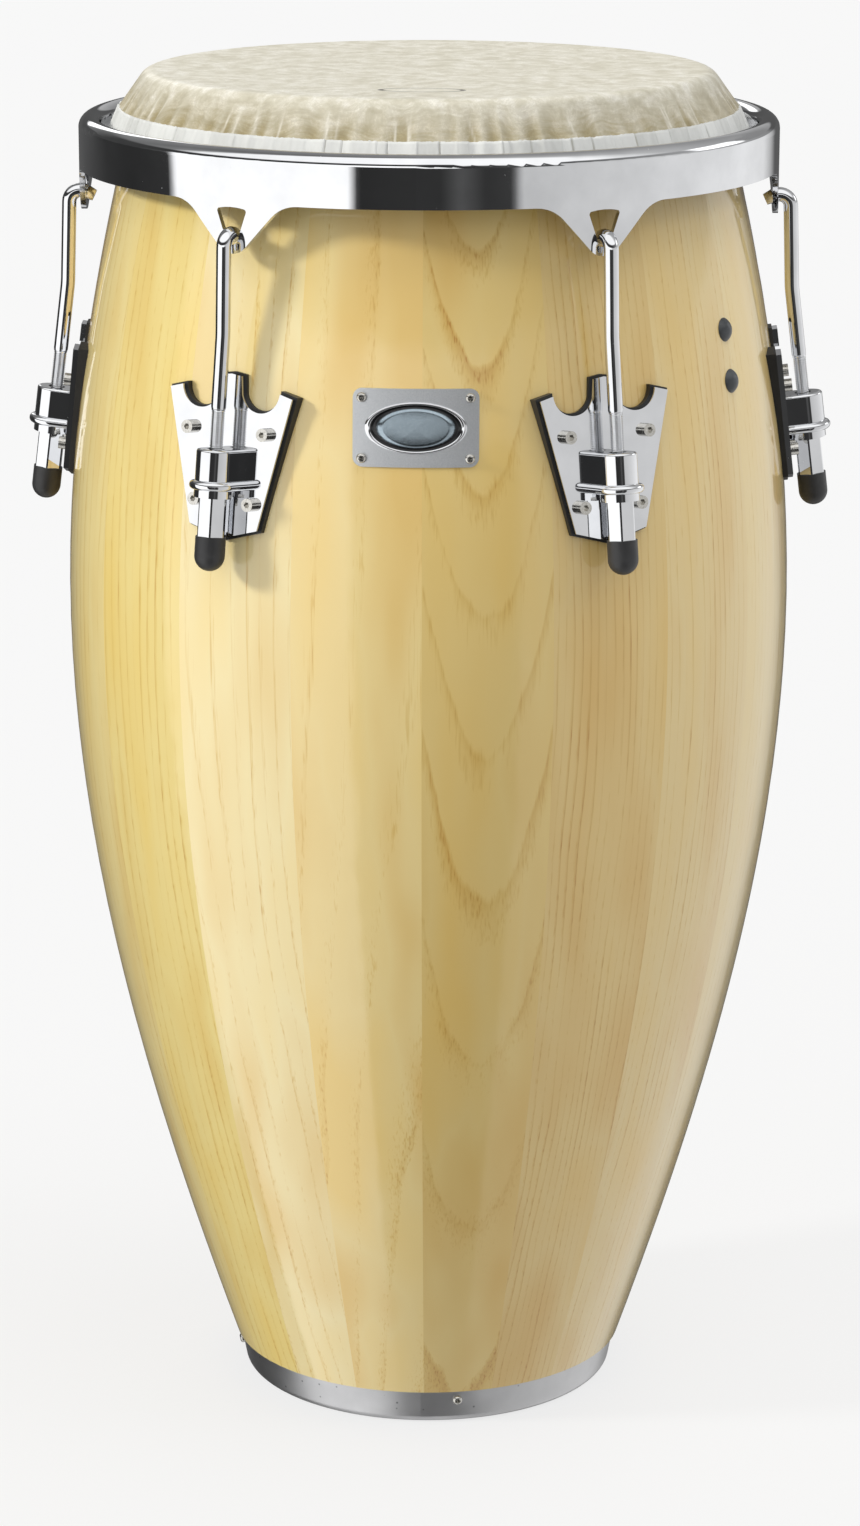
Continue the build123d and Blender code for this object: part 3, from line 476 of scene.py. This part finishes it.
def makeFilmMaterial():
    # bonded fibre film: mottled beige with pale drifting fibres, satin
    material, tree, shader, place = startMaterial("fibreFilm")
    bend = addNode(tree, "TexNoise", {"Vector": place, "Scale": 1 / (30 * mm), "Detail": 2.0})
    warped = addNode(tree, "VectorMath", {
        "operation": "MULTIPLY_ADD", 0: bend.outputs["Color"], 1: (0.02, 0.02, 0.02), 2: place,
    })
    blotch = addNode(tree, "TexNoise", {
        "Vector": warped, "Scale": 1 / (11 * mm), "Detail": 6.0, "Roughness": 0.68,
    })
    fibreBand = addNode(tree, "TexNoise", {
        "Vector": warped, "Scale": 1 / (5 * mm), "Detail": 5.0, "Roughness": 0.7, "Distortion": 1.6,
    })
    fibreSide = addNode(tree, "Math", {"operation": "SUBTRACT", 0: fibreBand, 1: 0.5})
    fibreLine = addNode(tree, "Math", {"operation": "ABSOLUTE", 0: fibreSide})
    fibreMask = addNode(tree, "MapRange", {
        "Value": fibreLine, "From Min": 0.0, "From Max": 0.035, "To Min": 1.0, "To Max": 0.0,
    })
    clump = addNode(tree, "MapRange", {"Value": blotch, "From Min": 0.42, "From Max": 0.66})
    fibres = addNode(tree, "Math", {"operation": "MULTIPLY", 0: fibreMask, 1: clump})
    base = addNode(tree, "ValToRGB", {
        "Fac": blotch,
        "stops": [(0.30, "#BEB8A4"), (0.46, "#CDC8B6"), (0.60, "#DAD6C9"), (0.74, "#EBE8E0")],
    })
    colour = addNode(tree, "Mix", {"data_type": "RGBA", 0: fibres, 6: base, 7: srgb("#F4F1E4")})
    xyz = addNode(tree, "SeparateXYZ", {"Vector": place})
    ovalX = addNode(tree, "Math", {
        "operation": "MULTIPLY", 0: xyz.outputs["X"], 1: 1 / (printedOval["halfWide"] * mm),
    })
    tall = printedOval["halfTall"]
    ovalY = addNode(tree, "Math", {
        "operation": "MULTIPLY_ADD", 0: xyz.outputs["Y"], 1: 1 / (tall * mm),
        2: printedOval["fromMiddle"] / tall,
    })
    ovalPlace = addNode(tree, "CombineXYZ", {"X": ovalX, "Y": ovalY})
    ovalAt = addNode(tree, "VectorMath", {"operation": "LENGTH", 0: ovalPlace}).outputs["Value"]
    ovalSide = addNode(tree, "Math", {"operation": "SUBTRACT", 0: ovalAt, 1: 1.0})
    ovalOff = addNode(tree, "Math", {"operation": "ABSOLUTE", 0: ovalSide})
    ovalInk = addNode(tree, "MapRange", {
        "Value": ovalOff, "From Min": 0.05, "From Max": 0.08, "To Min": 0.85, "To Max": 0.0,
    })
    printed = addNode(tree, "Mix", {
        "data_type": "RGBA", 0: ovalInk, 6: colour.outputs[2], 7: srgb("#3A352D"),
    })
    # round the collar the fibres are drawn out into level streaks, and the pleat valleys are darkened with
    # painted shade
    level = addNode(tree, "Mapping", {
        "Vector": warped, "Scale": (1 / (26 * mm), 1 / (26 * mm), 1 / (1.6 * mm)),
    })
    streaks = addNode(tree, "TexNoise", {"Vector": level, "Scale": 1.0, "Detail": 4.0, "Roughness": 0.6})
    valley = addNode(tree, "Attribute", {"attribute_name": "pleatShade"})
    onCollar = addNode(tree, "MapRange", {
        "Value": xyz.outputs["Z"], "From Min": 0.7615, "From Max": 0.757, "To Min": 0.0, "To Max": 1.0,
    })
    streakTone = addNode(tree, "MapRange", {
        "Value": streaks, "From Min": 0.35, "From Max": 0.65, "To Min": 0.22, "To Max": 0.0,
    })
    # painted shade: the collar darkens down towards the band and stays pale over the edge
    shadeTowardBand = addNode(tree, "MapRange", {
        "Value": xyz.outputs["Z"], "From Min": 0.759, "From Max": 0.745, "To Min": 0.0, "To Max": 0.45,
    })
    toneAndShade = addNode(tree, "Math", {"operation": "ADD", 0: streakTone, 1: shadeTowardBand})
    shade = addNode(tree, "Math", {
        "operation": "MULTIPLY_ADD", 0: valley.outputs["Fac"], 1: 0.6, 2: toneAndShade, "use_clamp": True,
    })
    shadeOn = addNode(tree, "Math", {"operation": "MULTIPLY", 0: shade, 1: onCollar})
    # the streaks and the painted shade multiply in #BDB293
    shaded = addNode(tree, "Mix", {
        "data_type": "RGBA", "blend_type": "MULTIPLY", 0: shadeOn, 6: printed.outputs[2],
        7: srgb("#BDB293"),
    })
    crease = addNode(tree, "Attribute", {"attribute_name": "creaseShade"})
    faint = addNode(tree, "Math", {"operation": "MULTIPLY", 0: crease.outputs["Fac"], 1: 0.6})
    creased = addNode(tree, "Mix", {
        "data_type": "RGBA", 0: faint, 6: shaded.outputs[2], 7: srgb("#F7F4EA"),
    })
    rough = addNode(tree, "MapRange", {"Value": fibreBand, "To Min": 0.34, "To Max": 0.52})
    relief = addNode(tree, "Math", {"operation": "MULTIPLY_ADD", 0: fibres, 1: 0.6, 2: blotch})
    bump = addNode(tree, "Bump", {"Height": relief, "Strength": 0.2, "Distance": 0.2 * mm})
    connect(tree, shader, {
        "Base Color": creased.outputs[2], "Roughness": rough, "IOR": 1.5, "Normal": bump,
        "Coat Weight": 0.15, "Coat Roughness": 0.3,
    })
    return material


def filmProfile():
    # (radius, height, outward normal, fall) down the film's outside
    middle, turn = film["edgeMiddle"], radians(film["collarAngle"])
    flatRings = [0.5, 8, 20, 35, 50, 65, 80, 95, 108, 120, 130, 138, 144, 148, 151]
    rows = [(radius, middle[1] + film["edgeRadius"], (0.0, 1.0), 0.0) for radius in flatRings]
    for step in range(13):
        angle = turn * step / 12
        normal = (sin(angle), cos(angle))
        radius = middle[0] + film["edgeRadius"] * normal[0]
        height = middle[1] + film["edgeRadius"] * normal[1]
        rows.append((radius, height, normal, 0.12 * step / 12))
    for finish, steps, fallEnd in ((film["knee"], 20, 0.8), (film["end"], 10, 1.0)):
        start = rows[-1]
        for step in range(1, steps + 1):
            share = step / steps
            radius = start[0] + (finish[0] - start[0]) * share
            height = start[1] + (finish[1] - start[1]) * share
            rows.append((radius, height, start[2], start[3] + (fallEnd - start[3]) * share))
    return rows


def makeHeadFilm():
    columns = film["columns"]
    points, depths, lines = [], [], []
    for radius, height, normal, fall in filmProfile():
        for column in range(columns):
            angle = 360.0 * column / columns
            inwards = pleatAt(angle, fall) if fall > 0 else 0.0
            points.append(around(angle, radius - normal[0] * inwards, height - normal[1] * inwards))
            # the pleat depth, kept for the painted shade in the valleys
            depths.append(inwards / film["pleatDepth"][1])
            lines.append(creaseAt(angle, fall))
    rows = len(filmProfile())
    faces = gridFaces(rows, columns)
    faces.append(tuple(range(columns - 1, -1, -1)))
    faces = [tuple(reversed(f)) for f in faces]
    piece = makePiece("headFilm", points, faces, makeFilmMaterial(), "shell", ("head_film",))
    thick = piece.modifiers.new("thickness", "SOLIDIFY")
    thick.thickness = film["thickness"] * mm
    thick.offset = -1.0
    for name, values in (("pleatShade", depths), ("creaseShade", lines)):
        attribute = piece.data.attributes.new(name, "FLOAT", "POINT")
        attribute.data.foreach_set("value", values)


makeHeadFilm()
print("head film pleated")

band = {
    "top": (172.40, 742.37),
    "corner": (177.60, 730.5),
    "foot": 729.2,
    "out": (0.914, 0.407),  # the way the sloping face looks
    "radius": 177.0,  # where folds are measured
    "foldWidth": (4.0, 20.0),
    "lap": 0.55,  # how far one fold's edge stands over the next
    "slitShare": 0.28,
    "slitDepth": 0.8,
    "slitWidth": 0.9,
    "slitFlare": 0.25,  # how much wider a slit is at the foot
    "slitFade": 1.3,
    "ragged": 0.5,
    "pleatShare": 0.55,  # how far it follows the film's pleats
    "tuck": 0.15,  # how far its inner face sinks into the film
    "columns": 1800,
}


def makeBandMaterial():
    # bare white edge of the film, pleated in under the rim: satin, faint grey and cream streaks; slits in brown
    # painted shade
    material, tree, shader, place = startMaterial("whiteFilmEdge")
    tone = addNode(tree, "Attribute", {"attribute_name": "foldTone"})
    upright = addNode(tree, "Mapping", {
        "Vector": place, "Scale": (1 / (2.2 * mm), 1 / (2.2 * mm), 1 / (16 * mm)),
    })
    streak = addNode(tree, "TexNoise", {"Vector": upright, "Scale": 1.0, "Detail": 4.0})
    mixed = addNode(tree, "Math", {"operation": "MULTIPLY_ADD", 0: streak, 1: 0.45, 2: tone.outputs["Fac"]})
    colour = addNode(tree, "ValToRGB", {
        "Fac": mixed,
        "stops": [(0.0, "#8E8468"), (0.14, "#B4B2A8"), (0.3, "#C6C7C3"), (0.6, "#D3D4D1"), (1.0, "#DFE0DD")],
    })
    rough = addNode(tree, "MapRange", {"Value": streak, "To Min": 0.3, "To Max": 0.5})
    bump = addNode(tree, "Bump", {"Height": streak, "Strength": 0.2, "Distance": 0.2 * mm})
    connect(tree, shader, {"Base Color": colour, "Roughness": rough, "IOR": 1.49, "Normal": bump})
    return material


def makeCollarBand():
    draw = random.Random(9)
    edges = drawWidths(draw, *band["foldWidth"], band["radius"])
    # each fold's tone, whether it is slit, how far it laps and how uneven its top is
    folds = [
        (
            draw.uniform(0.25, 0.75),
            draw.random() < band["slitShare"],
            draw.uniform(0.3, 1.0),
            draw.uniform(-0.5, 0.5),
        )
        for _ in edges
    ]
    columns = band["columns"]
    (topRadius, topHeight), (radius, height) = band["top"], band["corner"]
    shares = (0.0, 0.12, 0.3, 0.5, 0.7, 0.88)
    slope = [
        (topRadius + (radius - topRadius) * share, topHeight + (height - topHeight) * share) for share in shares
    ]
    outside = slope + [band["corner"], (band["corner"][0], band["foot"])]
    inside = [(film["end"][0], band["foot"]), film["end"], film["knee"]]
    out = band["out"]
    points, toneAndShade = [], []
    for row, (radius, height) in enumerate(outside + inside):
        for column in range(columns):
            angle = 360.0 * column / columns
            index, share = whichSpan(edges, angle)
            tone, slit, lap, uneven = folds[index]
            width = (edges[index + 1] - edges[index]) * pi / 180 * band["radius"]
            pleat = pleatAt(angle, 1.0)
            inwards = band["lap"] * lap * (1 - share) + band["pleatShare"] * pleat
            nearEdge = share * width
            slitHere = slit and nearEdge < band["slitWidth"] + band["slitFlare"] * row / 7
            if slitHere:
                inwards += band["slitDepth"] * (1 - nearEdge / band["slitFade"])
            ragged = 0.0
            if row == 0:
                ragged = band["ragged"] * (noise.noise(Vector((angle * 2.1, 3.0, 0.0))) - abs(uneven))
            if row >= len(outside):
                inwards = pleat + band["tuck"]
            rise = 0.0 if height == band["foot"] else -out[1] * inwards + ragged
            points.append(around(angle, radius - out[0] * inwards, height + rise))
            # slits take tone 0, the brown painted shade at the bottom of the ramp
            toneAndShade.append(0.0 if slitHere else tone + 0.2 * noise.noise(Vector((angle * 0.9, 0.0, 5.0))))
    rows = len(outside) + len(inside)
    faces = gridFaces(rows, columns)
    last = (rows - 1) * columns
    faces += [(last + c, last + (c + 1) % columns, (c + 1) % columns, c) for c in range(columns)]
    faces = [tuple(reversed(f)) for f in faces]
    piece = makePiece("collarBand", points, faces, makeBandMaterial(), "shell", ("collar_band",))
    attribute = piece.data.attributes.new("foldTone", "FLOAT", "POINT")
    attribute.data.foreach_set("value", toneAndShade)


makeCollarBand()
print("white band folded")

hook = {
    "rod": 4.0,
    "pitch": 1.25,
    "crest": 3.72,
    "threadDepth": 0.66,
    "threadTop": 47.4,  # along the thread axis from the nut's top face
    "rodEnd": -30.1,
    "bendAt": 85.4,
    "gentleBend": 60.0,
    "corner": (201.0, 696.7),
    "cornerBend": 6.5,
    "stubEnd": (187.04, 690.19),
    "endChamfer": 0.8,
    "sides": 32,
}


def roundedPath(corners, bends, arcSteps):
    # straight runs with an arc at each inner corner, in the (radius, height) plane
    path = [Vector(corners[0])]
    for before, corner, after, bend in zip(corners, corners[1:], corners[2:], bends):
        before, corner, after = Vector(before), Vector(corner), Vector(after)
        inRun, outRun = (corner - before).normalized(), (after - corner).normalized()
        turn = acos(max(-1.0, min(1.0, inRun.dot(outRun))))
        reach = bend * tan(turn / 2)
        first = corner - inRun * reach
        side = 1 if inRun.x * outRun.y - inRun.y * outRun.x > 0 else -1
        normal = Vector((-inRun.y, inRun.x)) * side
        middle = first + normal * bend
        for step in range(arcSteps + 1):
            swing = turn * step / arcSteps
            path.append(middle - normal * bend * cos(swing) + inRun * bend * sin(swing))
    path.append(Vector(corners[-1]))
    return path


def makeHook(number, material):
    azimuth = 60.0 * number - 30.0
    joint = next(j for j in frame["joints"] if j["name"] == f"nut_{number}_turn")
    start, axis = Vector(joint["pos_m"]) / mm, Vector(joint["axis"])
    outwards = Vector((sin(radians(azimuth)), -cos(radians(azimuth)), 0))

    def onAxis(along):
        at = start + axis * along
        return outwards.dot(at), at.z

    corners = [onAxis(hook["threadTop"]), onAxis(hook["bendAt"]), hook["corner"], hook["stubEnd"]]
    smooth = roundedPath(corners, [hook["gentleBend"], hook["cornerBend"]], 12)
    # the threaded run: rings close enough to carry the screw's crests
    threadStep = hook["pitch"] / 8
    run = hook["threadTop"] - hook["rodEnd"]
    threadPlaces = [hook["rodEnd"] + threadStep * i for i in range(int(run / threadStep))]
    rings = [(Vector(onAxis(along)), along) for along in threadPlaces]
    rings += [(p, hook["threadTop"] + (p - smooth[0]).length) for p in smooth]
    total = len(rings)
    across = Vector((cos(radians(azimuth)), sin(radians(azimuth)), 0))
    points = []
    for index, (at, along) in enumerate(rings):
        ahead = rings[min(index + 1, total - 1)][0] - rings[max(index - 1, 0)][0]
        ahead = ahead.normalized()
        side = Vector((ahead.y, -ahead.x))
        for s in range(hook["sides"]):
            angle = 2 * pi * s / hook["sides"]
            phase = (along / hook["pitch"] - s / hook["sides"]) % 1.0
            groove = hook["threadDepth"] * min(1.0, 1.25 * (1 - abs(2 * phase - 1)))
            fade = max(0.0, min(1.0, (hook["threadTop"] - along) / 2.5))
            radius = hook["rod"] - (hook["rod"] - hook["crest"] + groove) * fade
            if index in (0, 1) or index >= total - 1:
                radius -= hook["endChamfer"] * (1.0 if index in (0, total - 1) else 0.4)
            flat = Vector(at) + side * radius * cos(angle)
            points.append((outwards * flat.x + Vector((0, 0, flat.y)) + across * radius * sin(angle)) * mm)
    faces = gridFaces(total, hook["sides"])
    faces.append(tuple(range(hook["sides"] - 1, -1, -1)))
    faces.append(tuple((total - 1) * hook["sides"] + s for s in range(hook["sides"])))
    makePiece(f"hookRod{number}", points, faces, material, f"hook_{number}", (f"hook_{number}",))


for number in range(1, 7):
    makeHook(number, chromePlate)
print("hooks threaded")

medallion = {
    "halfWide": 27.0,
    "halfTall": 13.5,
    # share of the way out from the middle, height over the badge in mm
    "field": [(0.0, 0.75), (0.35, 0.72), (0.62, 0.6), (0.76, 0.45)],
    "groove": [(0.76, 0.45), (0.78, 0.12), (0.86, 0.12), (0.88, 0.5)],
    "border": [(0.88, 0.5), (0.90, 0.85), (0.95, 0.9), (0.98, 0.7), (1.0, 0.05), (1.0, -0.3)],
}


def makeMedallion():
    surface = BVHTree.FromObject(nodes["badge"], bpy.context.evaluated_depsgraph_get())
    low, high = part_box("badge")
    middle = (low.z + high.z) / 2
    columns = 160
    for part, material in (("field", rubbedNickel), ("groove", blackEnamel), ("border", chromePlate)):
        points = []
        for share, lift in medallion[part]:
            for column in range(columns):
                turn = 2 * pi * column / columns
                x = medallion["halfWide"] * max(share, 0.01) * cos(turn) * mm
                z = middle + medallion["halfTall"] * max(share, 0.01) * sin(turn) * mm
                hit = surface.ray_cast(Vector((x, low.y - 0.05, z)), Vector((0, 1, 0)))
                points.append(hit[0] + hit[1] * lift * mm)
        rows = len(medallion[part])
        faces = [tuple(reversed(f)) for f in gridFaces(rows, columns)]
        if part == "field":
            faces.append(tuple(range(columns)))
        piece = makePiece(f"medallion{part.capitalize()}", points, faces, material, "shell")
        skin = piece.modifiers.new("thickness", "SOLIDIFY")
        skin.thickness = 0.1 * mm
        skin.offset = -1.0


makeMedallion()
print("badge finished")

paint(chromePlate, "rim", "lug_washers")
for number in range(1, 7):
    paint(chromePlate, f"side_plate_{number}", f"tuning_nut_{number}")
    paint(gasketRubber, f"plate_gasket_{number}")
    paint(capRubber, f"nut_cap_{number}")
paint(nickelledScrew, "plate_screws", "plate_nuts", "badge_screws", "base_ring_screws")
paint(spunSteel, "base_ring")
paint(blastedNickel, "badge")
paint(millAluminium, "flesh_hoop")
paint(plugNylon, "hole_plugs")

# direction round the drum in degrees and brightness there: soft boxes, black cards, edge lights
studio = {
    "backdrop": 0.93,
    "diffuse": (0.40, 0.64),  # from below, from above
    "floor": 0.7,
    "low": [
        (-180, 0.10), (-160, 0.10), (-149, 0.085), (-128, 0.04), (-110, 0.03), (-91, 0.04), (-88, 1.35),
        (-24, 1.35), (-21, 0.03), (6, 0.04), (12, 0.10), (20, 0.04), (29, 0.05), (32, 0.66), (80, 0.80),
        (126, 1.0), (143, 0.9), (152, 0.5), (158, 0.12), (180, 0.10),
    ],
    "eye": [
        (-180, 0.10), (-110, 0.05), (-92, 0.08), (-88, 1.35), (-24, 1.4), (-17, 1.5), (0, 1.35), (15, 0.85),
        (24, 0.6), (34, 0.68), (75, 0.72), (105, 0.52), (150, 0.3), (157, 0.1), (180, 0.10),
    ],
    "middle": [
        (-180, 0.5), (-172, 0.4), (-169, 2.0), (-160, 2.0), (-156, 0.2), (-130, 0.06), (-100, 0.05),
        (10, 0.04), (45, 0.12), (98, 0.40), (104, 2.2), (124, 2.2), (131, 0.3), (155, 0.3), (180, 0.5),
    ],
    "high": [
        (-180, 0.30), (-120, 0.18), (-98, 0.25), (-84, 1.25), (60, 1.25), (95, 0.55), (150, 0.38), (180, 0.30),
    ],
    # elevations where one band gives way to the next, from and to
    "floorJoin": (-62, -50),
    "joins": [("eye", 3.4, 4.6), ("middle", 10, 12), ("high", 24, 29)],
}


def makeStudio():
    world = bpy.data.worlds.new("studio")
    world.use_nodes = True
    scene.world = world
    tree = world.node_tree
    tree.nodes.clear()
    direction = addNode(tree, "TexCoord", {}).outputs["Generated"]
    xyz = addNode(tree, "SeparateXYZ", {"Vector": direction})
    backwards = addNode(tree, "Math", {"operation": "MULTIPLY", 0: xyz.outputs["Y"], 1: -1.0})
    angle = addNode(tree, "Math", {"operation": "ARCTAN2", 0: xyz.outputs["X"], 1: backwards})
    share = addNode(tree, "MapRange", {"Value": angle, "From Min": -pi, "From Max": pi})
    bands = {}
    for name in ("low", "eye", "middle", "high"):
        stops = [((turn + 180) / 360, light) for turn, light in studio[name]]
        bands[name] = addNode(tree, "ValToRGB", {"Fac": share, "stops": stops})
    height = xyz.outputs["Z"]
    floorFrom, floorTo = [sin(radians(turn)) for turn in studio["floorJoin"]]
    floorMix = addNode(tree, "MapRange", {
        "Value": height, "From Min": floorFrom, "From Max": floorTo, "To Min": 1.0, "To Max": 0.0,
    })
    dome = addNode(tree, "Mix", {
        "data_type": "RGBA", 0: floorMix, 6: bands["low"], 7: (studio["floor"],) * 3 + (1,),
    })
    for name, *turns in studio["joins"]:
        start, end = [sin(radians(turn)) for turn in turns]
        join = addNode(tree, "MapRange", {"Value": height, "From Min": start, "From Max": end})
        dome = addNode(tree, "Mix", {"data_type": "RGBA", 0: join, 6: dome.outputs[2], 7: bands[name]})
    below, above = studio["diffuse"]
    softLight = addNode(tree, "MapRange", {
        "Value": height, "From Min": -0.6, "From Max": 0.6, "To Min": below, "To Max": above,
    })
    rays = addNode(tree, "LightPath", {})
    diffuseDome = addNode(tree, "Mix", {
        "data_type": "RGBA", 0: rays.outputs["Is Diffuse Ray"], 6: dome.outputs[2], 7: softLight,
    })
    seen = addNode(tree, "Mix", {
        "data_type": "RGBA", 0: rays.outputs["Is Camera Ray"], 6: diffuseDome.outputs[2],
        7: (studio["backdrop"],) * 3 + (1,),
    })
    background = addNode(tree, "Background", {"Color": seen.outputs[2], "Strength": 1.0})
    addNode(tree, "OutputWorld", {"Surface": background})


def makeFloor():
    # seamless pale paper under and behind the drum
    material, tree, shader, place = startMaterial("seamlessPaper")
    tooth = addNode(tree, "TexNoise", {"Vector": place, "Scale": 1 / (1.5 * mm), "Detail": 2.0})
    colour = addNode(tree, "ValToRGB", {"Fac": tooth, "stops": [(0.3, "#6A6A6A"), (0.7, "#6C6C6C")]})
    glow = 0.74
    connect(tree, shader, {
        "Base Color": colour, "Roughness": 0.9, "Emission Color": (1, 1, 1, 1), "Emission Strength": glow,
        "Specular IOR Level": 0.0,
    })
    mesh = bpy.data.meshes.new("floor")
    reach = 40.0
    corners = [(-reach, -reach, 0), (reach, -reach, 0), (reach, reach, 0), (-reach, reach, 0)]
    mesh.from_pydata(corners, [], [(0, 1, 2, 3)])
    mesh.materials.append(material)
    floor = bpy.data.objects.new("floor", mesh)
    floor.location.z = -0.0002
    floor.visible_glossy = False  # the mirrors and the soft light come from the studio instead
    floor.visible_diffuse = False
    scene.collection.objects.link(floor)


def addSun(name, azimuth, elevation, strength, spread, colour):
    lamp = bpy.data.lights.new(name, "SUN")
    lamp.energy = strength
    lamp.angle = radians(spread)
    lamp.color = srgb(colour)[:3]
    sun = bpy.data.objects.new(name, lamp)
    a, e = radians(azimuth), radians(elevation)
    towards = Vector((sin(a) * cos(e), -cos(a) * cos(e), sin(e)))
    sun.rotation_euler = towards.to_track_quat("Z", "Y").to_euler()
    scene.collection.objects.link(sun)
    return sun


makeStudio()
makeFloor()
keySun = addSun("keyLight", -76, 24, 2.0, 9, "#FFFDF8")
fillSun = addSun("frontLeftFill", -30, 30, 0.25, 60, "#FFFFFF")
rightSun = addSun("rightLight", 78, 38, 0.25, 16, "#FFFFFF")
backSun = addSun("backLight", 170, 35, 0.4, 50, "#FFFFFF")
topSun = addSun("topLight", 75, 72, 0.95, 40, "#FFFFFF")
for sun in (keySun, fillSun, rightSun, backSun, topSun):
    sun.visible_glossy = False
print("studio lit")

lens = {
    "azimuth": 2.0,
    "distance": 2.4351,
    "height": 1.0179,
    "pitch": 15.04,
    "roll": -0.09,
    "focal": 103.1,
}
camera = bpy.data.objects.new("camera", bpy.data.cameras.new("camera"))
a = radians(lens["azimuth"])
camera.location = (lens["distance"] * sin(a), -lens["distance"] * cos(a), lens["height"])
camera.rotation_euler = (radians(90 - lens["pitch"]), radians(lens["roll"]), a)
camera.data.lens = lens["focal"]
camera.data.clip_start = 0.1
camera.data.clip_end = 200
scene.collection.objects.link(camera)
scene.camera = camera

print("all pieces in place")
